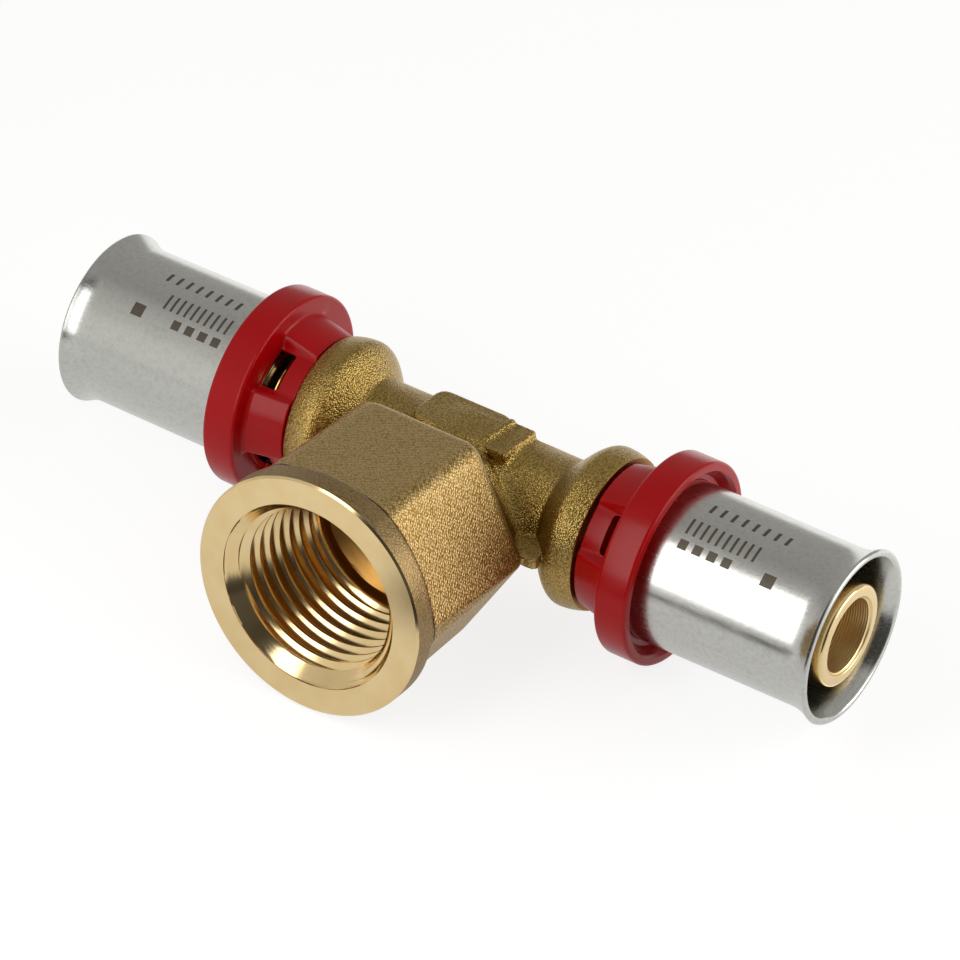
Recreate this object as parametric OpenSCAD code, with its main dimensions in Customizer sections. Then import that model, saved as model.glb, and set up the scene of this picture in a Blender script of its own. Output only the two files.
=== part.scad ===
// Press tee for 16 x 2 mm multilayer pipe with a 1/2 inch female threaded branch.
// The run lies along X, the branch opens towards -Y, and the axes meet at the origin. Millimetres.

/* [Run] */
// Distance from the centre to the tip of each nipple
tip_x = 48.8; // [46:0.1:56]
// Diameter of the waterway through the run
run_bore_d = 8.6; // [6:0.1:9]
// Width of the bevel at each end of the waterway
tip_bevel = 0.35; // [0.1:0.05:0.5]
// Diameter of the neck between the branch and a shoulder
neck_d = 12.3; // [11:0.1:14]
// Diameter of the round shoulder
shoulder_d = 18.2; // [17.6:0.1:20]
// Distance from the centre to the middle of the shoulder's ball
shoulder_x = 18; // [16.5:0.1:22]
// Length of the shoulder past the middle of its ball
shoulder_end = 0.94; // [0.6:0.02:1.6]
// Size of the bevel round the shoulder's end face
shoulder_bevel = 0.36; // [0.2:0.02:0.5]
// Radius of the fillet from the neck to the shoulder
neck_fillet = 1.6; // [0.8:0.1:2.4]

/* [Branch] */
// Distance from the centre to the branch's machined face
branch_len = 31.03; // [29:0.1:38]
// Diameter of the round collar behind the face
collar_d = 28.5; // [27.6:0.1:32]
// Length of the collar
collar_len = 2.7; // [2:0.1:4]
// Length of the cone from the collar down to the hexagon
collar_blend = 1.2; // [0.6:0.1:2]
// Size of the bevel round the face
face_bevel = 0.35; // [0.1:0.05:0.6]
// Width of the hexagon across its flats
hex_af = 25.2; // [24:0.1:27]
// Diameter over the hexagon's rounded corners
hex_corner_d = 28.3; // [27.5:0.1:30]
// Distance from the centre to the back edge of the hexagon
hex_back = 11; // [9:0.1:12]
// Distance from the centre to the foot of the hexagon's sloping back
slope_foot = 5.6; // [4:0.1:7]
// Width across the flats at the foot of the sloping back
slope_foot_af = 15; // [14:0.1:17.4]
// Diameter of the round saddle that joins the branch to the run
saddle_d = 14.8; // [13.6:0.1:17]
// Diameter of the bevelled mouth
mouth_d = 22; // [21:0.1:23]
// Diameter of the bore over the thread's crests
thread_minor_d = 18.63; // [18:0.01:19.4]
// Depth of the threaded bore from the face
thread_bore_depth = 17; // [15:0.1:19]
// Angle of the drill point at the bottom of the threaded bore
drill_angle = 118; // [90:1:140]
// Diameter of the port from the threaded bore to the waterway
port_d = 8.4; // [6:0.1:8.5]

/* [Forging details] */
// Length of the raised pad on top of the run
pad_len = 13.5; // [10:0.1:15]
// Width of the raised pad
pad_w = 6.9; // [5:0.1:8]
// Height of the pad's top above the run's axis
pad_top = 7.2; // [6.9:0.1:8]
// Shift of the pad towards the branch
pad_shift = 0.65; // [0:0.05:1.5]
// Corner radius of the pad
pad_corner = 1.6; // [0.5:0.1:2.4]
// Distance from the centre to the shallow step across the pad
pad_step_x = 3.75; // [2:0.05:4.5]
// Width of the step's groove
pad_step_w = 0.7; // [0.4:0.1:1.2]
// Depth of the step's groove
pad_step_depth = 0.3; // [0.1:0.05:0.6]
// Thickness of the webs in the parting plane
web_t = 2.8; // [1.6:0.1:5]

/* [Nipple] */
// Diameter over the barbs and at the tip
nipple_d = 11.8; // [11.5:0.05:11.9]
// Depth of the barbs
barb_depth = 0.35; // [0.15:0.05:0.5]
// Spacing of the barbs
barb_pitch = 1.5; // [1:0.1:2.5]
// Diameter of the root that the locating ring turns on
root_d = 12.6; // [12.4:0.05:13]
// Length of the root
root_len = 2.06; // [1.7:0.02:2.4]
// Depth of the snap groove in the root
snap_depth = 0.35; // [0.2:0.05:0.5]
// Distance from the root to the middle of the inner seal groove
inner_seal_x = 8.5; // [6:0.1:9]
// Distance from the tip back to the middle of the outer seal groove
outer_seal_back = 10.8; // [9:0.1:11.5]
// Width of a seal groove
seal_groove_w = 2; // [1.8:0.1:2.6]
// Depth of a seal groove
seal_groove_depth = 0.9; // [0.7:0.05:1]
// Thickness of a seal
seal_t = 1.4; // [1.2:0.05:1.6]
// Length of the smooth land at the tip
tip_land = 4.2; // [3:0.1:5]

/* [Press sleeve] */
// Outer diameter of the sleeve
sleeve_d = 18.4; // [18.2:0.05:19]
// Wall of the sleeve
sleeve_wall = 0.9; // [0.6:0.05:0.95]
// How far the sleeve's mouth reaches past the nipple's tip
mouth_reach = 0.5; // [0:0.1:2]
// Diameter over the flared mouth
flare_d = 20.14; // [19.8:0.02:21]
// Angle of the flare
flare_angle = 18; // [12:1:30]
// Radius of the bend where the flare starts
flare_bend = 3; // [1:0.1:5]
// Diameter over the bead at the sleeve's inner end
bead_d = 19.2; // [19:0.05:19.6]
// Length of the bead
bead_len = 0.7; // [0.4:0.05:1]

/* [Locating ring] */
// Width of the flange
flange_w = 4.04; // [3.6:0.05:6]
// How far the flange's open rim widens past the lip that holds the sleeve
rim_flare = 1.3; // [0.8:0.05:1.6]
// Wall of the flange round its open rim
rim_wall = 1.27; // [1:0.05:2]
// Rounding of the flange's edges
flange_round = 0.4; // [0.1:0.05:0.8]
// Diameter of the hub at its end beside the shoulder
hub_d = 17.4; // [17:0.05:18]
// How far the hub's radius grows towards the flange
hub_rise = 1.1; // [0.4:0.05:1.5]
// Length of the hub
hub_len = 4.52; // [4:0.02:6]
// Fillet from the hub to the flange
hub_fillet = 0.45; // [0.1:0.05:0.6]
// Diameter across the floors of the window pockets
pocket_d = 15.8; // [15:0.05:16]
// Number of window pockets
pocket_count = 4; // [3:1:4]
// Angle of a pocket at the surface of the hub's end
pocket_angle = 43; // [30:1:50]
// Angle of a pocket at its floor
pocket_floor_angle = 39; // [20:1:41]
// Thickness of the stop that the pipe's end meets
stop_t = 2.15; // [1.6:0.05:2.4]
// Diameter of the seat for the pipe
pipe_seat_d = 16.2; // [16.1:0.02:16.4]
// Thickness of the floor between the hub and the sleeve's seat
seat_floor_t = 0.4; // [0.2:0.05:0.8]
// Length of the lip that holds the sleeve's bead
lip_len = 0.8; // [0.5:0.05:1]

/* [Fits] */
// Gap between the shoulder's end face and the locating ring
ring_gap = 0.36; // [0.2:0.02:0.6]
// Radial clearance where the locating ring turns on the root
turn_play = 0.08; // [0.05:0.01:0.1]
// End clearance of the snap lip in its groove
snap_play = 0.12; // [0.05:0.01:0.2]
// Clearance round the sleeve's bead in the locating ring
sleeve_play = 0.1; // [0.05:0.01:0.15]
// Clearance between a seal and the bottom of its groove
seal_play = 0.02; // [0.01:0.01:0.05]

/* [Rest position] */
// Turn of the left locating ring on its nipple
left_turn = 52; // [0:1:90]
// Turn of the right locating ring on its nipple
right_turn = 36; // [0:1:90]

/* [Hidden] */
$fn = 96;
// Steps in each rounded corner of a turned outline
arc_steps = 8;
// Extra length of a cutter past the surface that it opens
past = 1;

brass = [0.70, 0.57, 0.30];
steel = [0.74, 0.74, 0.73];
red_plastic = [0.60, 0.08, 0.11];
black_rubber = [0.08, 0.08, 0.08];

// Height of the sleeve's bead above the sleeve
bead_rise = (bead_d - sleeve_d) / 2;

// Places along the run, from the centre outwards
end_face_x = shoulder_x + shoulder_end;
root_x = end_face_x + root_len;
ring_x = end_face_x + ring_gap;
stop_x = ring_x + stop_t;
flange_x = ring_x + hub_len;
rim_x = flange_x + flange_w;
sleeve_seat_x = flange_x + seat_floor_t;
sleeve_x = sleeve_seat_x + sleeve_play;
lip_x = sleeve_x + bead_len + bead_rise + sleeve_play;
mouth_x = tip_x + mouth_reach;
inner_groove_x = root_x + inner_seal_x;
outer_groove_x = tip_x - outer_seal_back;

// The snap groove lies midway along the part of the root that the ring covers
snap_w = root_len / 2.5;
snap_x = (ring_x + root_x) / 2;
snap_floor_r = root_d / 2 - snap_depth;

// Radii that follow from the fits
valley_r = nipple_d / 2 - barb_depth;
seal_floor_r = nipple_d / 2 - seal_groove_depth;
seal_ring_r = seal_floor_r + seal_t / 2 + seal_play;
turn_r = root_d / 2 + turn_play;
snap_lip_r = snap_floor_r + turn_play;
lip_r = sleeve_d / 2 + sleeve_play;
bead_seat_r = bead_d / 2 + sleeve_play;
rim_open_r = lip_r + rim_flare;
flange_r = rim_open_r + rim_wall;

// Points of an arc round [cx, cy], from angle a to angle b
function arc(cx, cy, r, a, b) =
    [for (i = [0 : arc_steps]) let (t = a + (b - a) * i / arc_steps) [cx + r * cos(t), cy + r * sin(t)]];

// Swaps the outline's [place, radius] pairs into the [radius, place] order of a turned shape
function turned(points) = [for (p = points) [p[1], p[0]]];

// Turns an outline of [place along the run, radius] pairs round the X axis
module turn_on_run(points) {
    rotate([0, 90, 0])
        rotate_extrude()
            polygon(turned(points));
}

// Places its child on the right side for side = 1 and mirrors it to the left for side = -1
module on_side(side) {
    if (side > 0) {
        children();
    } else {
        mirror([1, 0, 0]) children();
    }
}

// Shoulder and neck, as [place, radius] pairs.
// The fillet's centre lies fillet above the neck and outside the ball by the same radius.
fillet_cy = neck_d / 2 + neck_fillet;
fillet_cx = shoulder_x - sqrt(pow(shoulder_d / 2 + neck_fillet, 2) - pow(fillet_cy, 2));
fillet_angle = atan2(fillet_cy, shoulder_x - fillet_cx);
bevel_start_x = end_face_x - shoulder_bevel;
bevel_start_r = sqrt(pow(shoulder_d / 2, 2) - pow(bevel_start_x - shoulder_x, 2));
bevel_start_angle = 90 - asin((bevel_start_x - shoulder_x) / (shoulder_d / 2));

shoulder_outline = concat(
    [[0, 0], [0, neck_d / 2]],
    arc(fillet_cx, fillet_cy, neck_fillet, -90, -fillet_angle),
    arc(shoulder_x, 0, shoulder_d / 2, 180 - fillet_angle, bevel_start_angle),
    [[end_face_x, bevel_start_r - shoulder_bevel], [end_face_x, 0]]
);

// One barb: steep towards the root and sloping towards the tip, so that the pipe slides on
function barb(x) = [[x, valley_r], [x, nipple_d / 2], [x + barb_pitch, valley_r]];

// As many barbs as fit between two places
function barbs(from, to) =
    let (n = floor((to - from) / barb_pitch), start = from + (to - from - n * barb_pitch) / 2)
    n < 1 ? [] : [for (i = [0 : n - 1]) each barb(start + i * barb_pitch)];

function seal_groove(x) = [
    [x - seal_groove_w / 2, nipple_d / 2],
    [x - seal_groove_w / 2, seal_floor_r],
    [x + seal_groove_w / 2, seal_floor_r],
    [x + seal_groove_w / 2, nipple_d / 2]
];

// Land on each side of a seal groove
groove_land = 0.5;
groove_side = seal_groove_w / 2 + groove_land;
tip_round = 0.5;
tip_land_x = tip_x - tip_land;

nipple_outline = concat(
    [
        [end_face_x - past, 0],
        [end_face_x - past, root_d / 2],
        [snap_x - snap_w / 2, root_d / 2],
        [snap_x - snap_w / 2, snap_floor_r],
        [snap_x + snap_w / 2, snap_floor_r],
        [snap_x + snap_w / 2, root_d / 2],
        [root_x, root_d / 2],
        [root_x, valley_r]
    ],
    barbs(root_x + groove_land, inner_groove_x - groove_side),
    [[inner_groove_x - groove_side, valley_r], [inner_groove_x - groove_side, nipple_d / 2]],
    seal_groove(inner_groove_x),
    [[inner_groove_x + groove_side, nipple_d / 2], [inner_groove_x + groove_side, valley_r]],
    barbs(inner_groove_x + groove_side, outer_groove_x - groove_side),
    [[outer_groove_x - groove_side, valley_r], [outer_groove_x - groove_side, nipple_d / 2]],
    seal_groove(outer_groove_x),
    [[outer_groove_x + groove_side, nipple_d / 2], [outer_groove_x + groove_side, valley_r]],
    barbs(outer_groove_x + groove_side, tip_land_x),
    [[tip_land_x, valley_r], [tip_land_x, nipple_d / 2]],
    arc(tip_x - tip_round, nipple_d / 2 - tip_round, tip_round, 90, 0),
    [[tip_x, 0]]
);

// Points its child along the branch: the child's Z becomes -Y
module along_branch() {
    rotate([90, 0, 0]) children();
}

// Radius of a hexagon's corners from its width across the flats
function hex_r(af) = af / sqrt(3);

// Hexagon with rounded corners, its sloping back and the round saddle under it
module branch_hexagon() {
    hex_end = branch_len - collar_len;
    intersection() {
        union() {
            translate([0, 0, hex_back])
                cylinder(h = hex_end - hex_back, r = hex_r(hex_af), $fn = 6);
            translate([0, 0, slope_foot])
                cylinder(h = hex_back - slope_foot, r1 = hex_r(slope_foot_af), r2 = hex_r(hex_af), $fn = 6);
        }
        union() {
            translate([0, 0, hex_back])
                cylinder(h = hex_end - hex_back, d = hex_corner_d);
            translate([0, 0, slope_foot])
                cylinder(h = hex_back - slope_foot, d1 = saddle_d + web_t, d2 = hex_corner_d);
        }
    }
    cylinder(h = hex_back, d = saddle_d);
}

module branch_collar() {
    collar_x = branch_len - collar_len;
    translate([0, 0, collar_x - collar_blend])
        cylinder(h = collar_blend, d1 = hex_af, d2 = collar_d);
    translate([0, 0, collar_x])
        cylinder(h = collar_len - face_bevel, d = collar_d);
    translate([0, 0, branch_len - face_bevel])
        cylinder(h = face_bevel, d1 = collar_d, d2 = collar_d - 2 * face_bevel);
}

// Threaded bore with its bevelled mouth, its drill point and the port into the waterway
module branch_cavity() {
    mouth_depth = (mouth_d - thread_minor_d) / 2;
    floor_z = branch_len - thread_bore_depth;
    point_len = (thread_minor_d - port_d) / 2 / tan(drill_angle / 2);
    translate([0, 0, floor_z])
        cylinder(h = thread_bore_depth + past, d = thread_minor_d);
    translate([0, 0, branch_len - mouth_depth])
        cylinder(h = mouth_depth, d1 = thread_minor_d, d2 = mouth_d);
    translate([0, 0, floor_z - point_len])
        cylinder(h = point_len, d1 = port_d, d2 = thread_minor_d);
    cylinder(h = floor_z, d = port_d);
}

// Raised pad on top of the run, with a shallow step across it
module pad() {
    difference() {
        translate([0, -pad_shift, 0]) {
            for (x = [-1, 1], y = [-1, 1]) {
                translate([x * (pad_len / 2 - pad_corner), y * (pad_w / 2 - pad_corner), 0])
                    cylinder(h = pad_top, r = pad_corner);
            }
            translate([-pad_len / 2, pad_corner - pad_w / 2, 0])
                cube([pad_len, pad_w - 2 * pad_corner, pad_top]);
            translate([pad_corner - pad_len / 2, -pad_w / 2, 0])
                cube([pad_len - 2 * pad_corner, pad_w, pad_top]);
        }
        translate([pad_step_x - pad_step_w / 2, -pad_w, pad_top - pad_step_depth])
            cube([pad_step_w, 2 * pad_w, pad_step_depth + past]);
    }
}

// Web in the parting plane, from the hexagon's back corner to the shoulder's ball
module web() {
    corner_x = hex_corner_d / 2;
    ball_y = -sqrt(pow(shoulder_d / 2, 2) - pow(shoulder_x - corner_x, 2));
    translate([0, 0, -web_t / 2])
        linear_extrude(height = web_t)
            polygon([
                [neck_d / 2, 0],
                [neck_d / 2, -slope_foot],
                [corner_x - web_t, -hex_back - web_t],
                [corner_x, -hex_back - web_t / 2],
                [corner_x, ball_y],
                [shoulder_x, 0]
            ]);
}

module run_half() {
    turn_on_run(shoulder_outline);
    turn_on_run(nipple_outline);
    web();
}

// Waterway through the whole run, with a bevel at each tip
module waterway() {
    translate([-tip_x - past, 0, 0])
        rotate([0, 90, 0])
            cylinder(h = 2 * (tip_x + past), d = run_bore_d);
    for (side = [1, -1]) {
        on_side(side)
            translate([tip_x - tip_bevel, 0, 0])
                rotate([0, 90, 0])
                    cylinder(h = tip_bevel, d1 = run_bore_d, d2 = run_bore_d + 2 * tip_bevel);
    }
}

module tee_body() {
    color(brass)
        difference() {
            union() {
                for (side = [1, -1]) {
                    on_side(side) run_half();
                }
                along_branch() branch_hexagon();
                along_branch() branch_collar();
                pad();
            }
            waterway();
            along_branch() branch_cavity();
        }
}

// The flare bends round a centre outside the sleeve, so both faces keep the wall's thickness.
// The outer face runs on straight to the flare's diameter, and the rim is rounded.
bend_cy = sleeve_d / 2 + flare_bend;
rim_r = sleeve_wall / 2;
rim_cy = flare_d / 2 - rim_r;
rim_cx = mouth_x - rim_r;
bend_end_r = bend_cy - (flare_bend + rim_r) * cos(flare_angle);
straight_len = (rim_cy - bend_end_r) / sin(flare_angle);
bend_cx = rim_cx - straight_len * cos(flare_angle) - (flare_bend + rim_r) * sin(flare_angle);
bead_end_x = sleeve_x + bead_len;

sleeve_outline = concat(
    [
        [bead_end_x + bead_rise, sleeve_d / 2 - sleeve_wall],
        [sleeve_x, sleeve_d / 2 - sleeve_wall + bead_rise],
        [sleeve_x, bead_d / 2],
        [bead_end_x, bead_d / 2],
        [bead_end_x + bead_rise, sleeve_d / 2]
    ],
    arc(bend_cx, bend_cy, flare_bend, -90, flare_angle - 90),
    arc(rim_cx, rim_cy, rim_r, 90 + flare_angle, flare_angle - 90),
    arc(bend_cx, bend_cy, flare_bend + sleeve_wall, flare_angle - 90, -90)
);

module press_sleeve(side) {
    color(steel)
        on_side(side)
            turn_on_run(sleeve_outline);
}

lip_end_x = lip_x + lip_len;
// The hub is a cone from its bevelled end to the flange, and the fillet touches both the cone and the flange's face
hub_bevel = flange_round / 2;
hub_slope = atan2(hub_rise, hub_len - hub_bevel);
hub_fillet_cy = hub_d / 2 + hub_rise - hub_fillet * tan(hub_slope) + hub_fillet / cos(hub_slope);
// Step at the lip's outer end, from which the open rim widens to its full size
lead_in = rim_flare / 2;

ring_outline = concat(
    [
        [ring_x, turn_r],
        [ring_x, hub_d / 2 - hub_bevel],
        [ring_x + hub_bevel, hub_d / 2]
    ],
    arc(flange_x - hub_fillet, hub_fillet_cy, hub_fillet, hub_slope - 90, 0),
    arc(flange_x + flange_round, flange_r - flange_round, flange_round, 180, 90),
    arc(rim_x - flange_round, flange_r - flange_round, flange_round, 90, 0),
    [
        [rim_x, rim_open_r],
        [lip_end_x, lip_r + lead_in],
        [lip_end_x, lip_r],
        [lip_x, lip_r],
        [lip_x, bead_seat_r],
        [sleeve_seat_x, bead_seat_r],
        [sleeve_seat_x, pipe_seat_d / 2],
        [stop_x, pipe_seat_d / 2],
        [stop_x, turn_r],
        [snap_x + snap_w / 2 - snap_play, turn_r],
        [snap_x + snap_w / 2 - snap_play, snap_lip_r],
        [snap_x - snap_w / 2 + snap_play, snap_lip_r],
        [snap_x - snap_w / 2 + snap_play, turn_r]
    ]
);

// The pocket's outline along the run: its floor runs out of the hub's end, with a fillet up the flange's face
pocket_outline = concat(
    [[ring_x - past, flange_r], [ring_x - past, pocket_d / 2]],
    arc(flange_x - hub_fillet, pocket_d / 2 + hub_fillet, hub_fillet, -90, 0),
    [[flange_x, flange_r]]
);

// Point at a diameter and angle
function polar(d, angle) = [d / 2 * cos(angle), d / 2 * sin(angle)];

// Window pocket: sloping side walls cut from the turned pocket outline.
// Each wall runs straight through its points at the floor and at the hub's surface, and on past both.
module pocket() {
    floor_point = polar(pocket_d, pocket_floor_angle / 2);
    top_point = polar(hub_d, pocket_angle / 2);
    slope = top_point - floor_point;
    inner = floor_point - slope;
    outer = floor_point + slope * (2 * flange_r - pocket_d) / (hub_d - pocket_d);
    intersection() {
        rotate_extrude()
            polygon(turned(pocket_outline));
        translate([0, 0, ring_x - 2 * past])
            linear_extrude(height = hub_len + 4 * past)
                polygon([inner, outer, [outer[0], -outer[1]], [inner[0], -inner[1]]]);
    }
}

module locating_ring(side, turn) {
    color(red_plastic)
        on_side(side)
            difference() {
                turn_on_run(ring_outline);
                rotate([0, 90, 0])
                    for (i = [0 : pocket_count - 1]) {
                        rotate([0, 0, i * 360 / pocket_count - turn]) pocket();
                    }
            }
}

module o_ring(side, x) {
    color(black_rubber)
        on_side(side)
            translate([x, 0, 0])
                rotate([0, 90, 0])
                    rotate_extrude()
                        translate([seal_ring_r, 0])
                            circle(d = seal_t);
}

tee_body();
press_sleeve(-1);  // left_press_sleeve
press_sleeve(1);  // right_press_sleeve
locating_ring(-1, left_turn);  // left_locating_ring
locating_ring(1, right_turn);  // right_locating_ring
o_ring(-1, inner_groove_x);  // left_inner_o_ring
o_ring(-1, outer_groove_x);  // left_outer_o_ring
o_ring(1, inner_groove_x);  // right_inner_o_ring
o_ring(1, outer_groove_x);  // right_outer_o_ring
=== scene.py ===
import math
import bpy
import numpy as np
from mathutils import Matrix, Vector


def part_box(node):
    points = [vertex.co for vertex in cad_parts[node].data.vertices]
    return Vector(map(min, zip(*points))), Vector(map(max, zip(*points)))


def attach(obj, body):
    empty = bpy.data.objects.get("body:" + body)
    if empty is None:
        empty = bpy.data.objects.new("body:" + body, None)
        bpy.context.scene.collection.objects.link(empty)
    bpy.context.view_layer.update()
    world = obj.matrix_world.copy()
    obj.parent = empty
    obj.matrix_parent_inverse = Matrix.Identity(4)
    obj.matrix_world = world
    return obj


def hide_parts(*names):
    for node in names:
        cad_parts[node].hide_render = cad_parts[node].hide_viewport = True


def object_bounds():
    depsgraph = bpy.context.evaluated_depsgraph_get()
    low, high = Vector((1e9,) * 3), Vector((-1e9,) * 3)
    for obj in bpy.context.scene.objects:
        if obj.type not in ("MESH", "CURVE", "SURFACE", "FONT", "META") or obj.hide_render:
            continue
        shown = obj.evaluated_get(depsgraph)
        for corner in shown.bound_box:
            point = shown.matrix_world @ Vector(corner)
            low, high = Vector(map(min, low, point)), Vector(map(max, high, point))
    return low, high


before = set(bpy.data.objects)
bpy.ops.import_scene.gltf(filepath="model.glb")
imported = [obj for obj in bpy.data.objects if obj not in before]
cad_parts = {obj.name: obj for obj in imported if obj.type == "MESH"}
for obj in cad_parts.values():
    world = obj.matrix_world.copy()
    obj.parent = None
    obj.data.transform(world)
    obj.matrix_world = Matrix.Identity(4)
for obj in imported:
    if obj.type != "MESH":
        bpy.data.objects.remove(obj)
cadLow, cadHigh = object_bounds()

# All lengths below are millimetres in the part's own frame: the run lies along X,
# the branch opens towards -Y and +Z is the top. solidMesh turns them to metres.
mm = 0.001


# Surfaces

# Smooth minimum: the lesser of two fields, rounded off over a band as wide as blend.
def smoothMin(first, second, blend):
    share = np.clip(0.5 + 0.5 * (second - first) / blend, 0, 1)
    return second + (first - second) * share - blend * share * (1 - share)


# Smooth maximum: the smooth minimum turned upside down.
def smoothMax(first, second, blend):
    return -smoothMin(-first, -second, blend)


# Quads between the rows and columns of a grid. The columns close on themselves,
# and rowShift says how many rows a helical grid climbs in one turn.
def gridQuads(rows, columns, closedRows=False, rowShift=0):
    row, column = np.meshgrid(np.arange(rows if closedRows else rows - 1), np.arange(columns), indexing="ij")
    climb = np.where(column == columns - 1, rowShift, 0)
    nextColumn = (column + 1) % columns

    def cell(r, c):
        return (r % rows if closedRows else np.minimum(r, rows - 1)) * columns + c

    corners = [cell(row, column), cell(row + 1, column)]
    corners += [cell(row + 1 + climb, nextColumn), cell(row + climb, nextColumn)]
    return np.stack(corners, axis=-1).reshape(-1, 4)


# Merges equal points, splits quads into triangles, drops those with no area,
# turns the faces outwards by the sign of the enclosed volume, and makes the object.
def solidMesh(name, points, quads, materials):
    points, index = np.unique(np.round(points.reshape(-1, 3), 5), axis=0, return_inverse=True)
    quads = index.reshape(-1)[quads]
    triangles = np.concatenate([quads[:, [0, 1, 2]], quads[:, [0, 2, 3]]])
    a, b, c = triangles.T
    triangles = triangles[(a != b) & (b != c) & (c != a)]
    corner = points[triangles]
    if np.einsum("ij,ij->", corner[:, 0], np.cross(corner[:, 1], corner[:, 2])) < 0:
        triangles = triangles[:, ::-1]
    mesh = bpy.data.meshes.new(name)
    mesh.vertices.add(len(points))
    mesh.vertices.foreach_set("co", (points * mm).astype(np.float32).ravel())
    mesh.loops.add(triangles.size)
    mesh.loops.foreach_set("vertex_index", triangles.astype(np.int32).ravel())
    mesh.polygons.add(len(triangles))
    mesh.polygons.foreach_set("loop_start", np.arange(0, triangles.size, 3, dtype=np.int32))
    mesh.update(calc_edges=True)
    mesh.validate()
    for material in materials:
        mesh.materials.append(material)
    piece = bpy.data.objects.new(name, mesh)
    bpy.context.scene.collection.objects.link(piece)
    return piece


# Outline with eased corners: each corner is (place, radius, cut), and a quadratic curve
# joins the points that lie cut before and after it on its two edges.
def easedOutline(corners, steps=5):
    corners = np.array(corners, float)
    at, cut = corners[:, None, :2], corners[:, None, 2:]

    def along(neighbour):
        edge = neighbour - at
        return at + edge * cut / np.maximum(np.linalg.norm(edge, axis=2, keepdims=True), 1e-9)

    start, end = along(np.roll(at, 1, axis=0)), along(np.roll(at, -1, axis=0))
    t = np.linspace(0, 1, steps)[None, :, None]
    return ((1 - t) ** 2 * start + 2 * t * (1 - t) * at + t ** 2 * end).reshape(-1, 2)


# Points of a turned surface: place and radius are arrays of rows by columns, or one column each,
# and the angle goes once round from -Y towards +Z (about X) or from +X towards +Z (about -Y).
def turnedPoints(place, radius, columns, about="X"):
    angle = np.linspace(0, 2 * math.pi, columns, endpoint=False)[None, :]
    place, radius = np.broadcast_arrays(place, radius + 0 * angle)
    if about == "X":
        return np.stack([place, -radius * np.cos(angle), radius * np.sin(angle)], axis=-1)
    return np.stack([radius * np.cos(angle), -place, radius * np.sin(angle)], axis=-1)


# Closed solid turned from an outline whose first and last points lie on the axis,
# or whose ends meet when it is closed.
def turnedSolid(name, outline, columns, materials, about="X", closed=False):
    outline = np.asarray(outline)
    points = turnedPoints(outline[:, :1], outline[:, 1:2], columns, about)
    return solidMesh(name, points, gridQuads(len(outline), columns, closed), materials)


# Skin of a blended solid whose surface folds over itself, so no grid of two parameters can hold it.
# The formula, negative inside, is sampled on a space grid. Each cell that the surface crosses gets the
# mean of its edge crossings as a point, each crossed grid edge gets the quad of its four cells,
# and the points then slide down the formula's gradient until they lie on the surface.
def blendedSkin(name, formula, low, high, step, materials):
    nearZero, probe, slides, leastSlope = 1e-6, 0.02, 4, 0.05
    axes = [np.arange(a, b + step, step) for a, b in zip(low, high)]
    field = formula(*np.meshgrid(*axes, indexing="ij", sparse=True))
    field = np.where(np.abs(field) < nearZero, nearZero, field)
    shape = np.array(field.shape)
    cells, crossings = [], []
    for axis in range(3):
        near, far = np.delete(field, -1, axis), np.delete(field, 0, axis)
        index = np.argwhere((near < 0) != (far < 0))
        first, second = near[tuple(index.T)], far[tuple(index.T)]
        crossing = index + np.eye(3)[axis] * (first / (first - second))[:, None]
        u, v = np.eye(3, dtype=int)[(axis + 1) % 3], np.eye(3, dtype=int)[(axis + 2) % 3]
        quad = np.stack([index, index - u, index - u - v, index - v], axis=1)
        quad[first > 0] = quad[first > 0][:, ::-1]
        cells.append(np.ravel_multi_index(tuple(quad.reshape(-1, 3).T), shape))
        crossings.append(np.repeat(crossing, 4, axis=0))
    order = np.unique(np.concatenate(cells), return_inverse=True)[1]
    total = np.bincount(order)
    points = np.stack([np.bincount(order, weights=c) / total for c in np.concatenate(crossings).T], axis=1)
    points = points * step + np.array(low)
    for _ in range(slides):
        value = formula(*points.T)
        rises = [formula(*(points + probe * e).T) - formula(*(points - probe * e).T) for e in np.eye(3)]
        slope = np.stack(rises, axis=1) / (2 * probe)
        slide = value / np.maximum((slope ** 2).sum(axis=1), leastSlope)
        points -= slope * np.clip(slide, -step / 2, step / 2)[:, None]
    return solidMesh(name, points, order.reshape(-1, 4), materials)


# Tool that machines a turned end: everything past the face, less a bevel round its rim. The bevel's cone
# runs on by a small margin, and the tool reaches out to a radius and a place beyond the blank.
def faceTool(name, end, radius, material, side=1, about="X"):
    face, bevel, margin = end["face"], end["bevel"], 0.1
    back = face - bevel - margin
    outline = [(face, 0), (face, radius - bevel), (back, radius + margin)]
    outline += [(back, end["outside"]), (end["reach"], end["outside"]), (end["reach"], 0)]
    return turnedSolid(name, np.array(outline) * [side, 1], end["faceColumns"], [material], about)


# Joins a tool to a piece or cuts it away, and keeps the result as plain mesh. The tool is used up.
def carve(piece, tool, operation):
    modifier = piece.modifiers.new("carve", "BOOLEAN")
    modifier.operation = operation
    modifier.object = tool
    modifier.solver = "MANIFOLD"
    modifier.material_mode = "TRANSFER"
    settled = bpy.data.meshes.new_from_object(piece.evaluated_get(bpy.context.evaluated_depsgraph_get()))
    piece.modifiers.clear()
    spent = [piece.data, tool.data]
    piece.data = settled
    bpy.data.objects.remove(tool)
    for mesh in spent:
        bpy.data.meshes.remove(mesh)


# Smooth faces with sharp edges where the surface turns by more than the angle.
def crispEdges(piece, degrees):
    piece.data.shade_smooth()
    piece.data.set_sharp_from_angle(angle=math.radians(degrees))


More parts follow.
